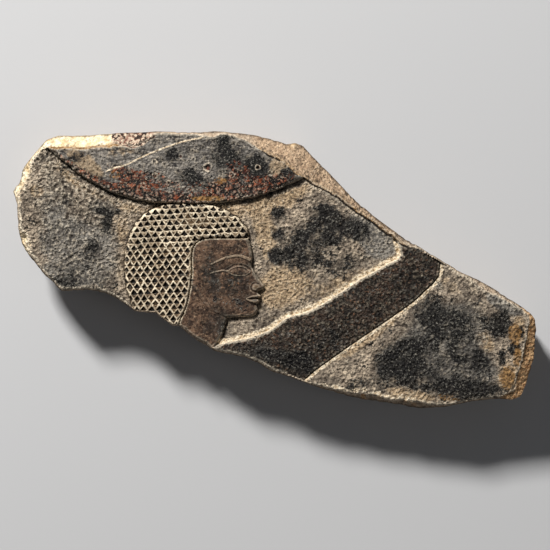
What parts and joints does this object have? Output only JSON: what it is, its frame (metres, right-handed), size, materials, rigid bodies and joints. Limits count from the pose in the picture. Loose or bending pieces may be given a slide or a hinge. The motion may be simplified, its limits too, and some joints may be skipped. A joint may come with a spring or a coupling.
{
  "type": "limestone relief fragment",
  "caption": "Broken limestone slab lying on its flat back, carved in low raised relief with a wigged head in profile, a raised arm and a basket above.",
  "frame": {"origin": "centre of the overall plan outline, on the flat back that the fragment lies on", "axes": "+X along the fragment's length, the way the carved figure faces, +Y towards the basket, the top of the carving, and +Z out of the carved front"},
  "size_m": [0.367, 0.1944, 0.0465],
  "materials": {
    "limestone": "weathered carved limestone with a dark patina, granular crust on the basket and cream fresh breaks"
  },
  "bodies": {
    "root": {"relief_fragment": "limestone"}
  },
  "joints": []
}
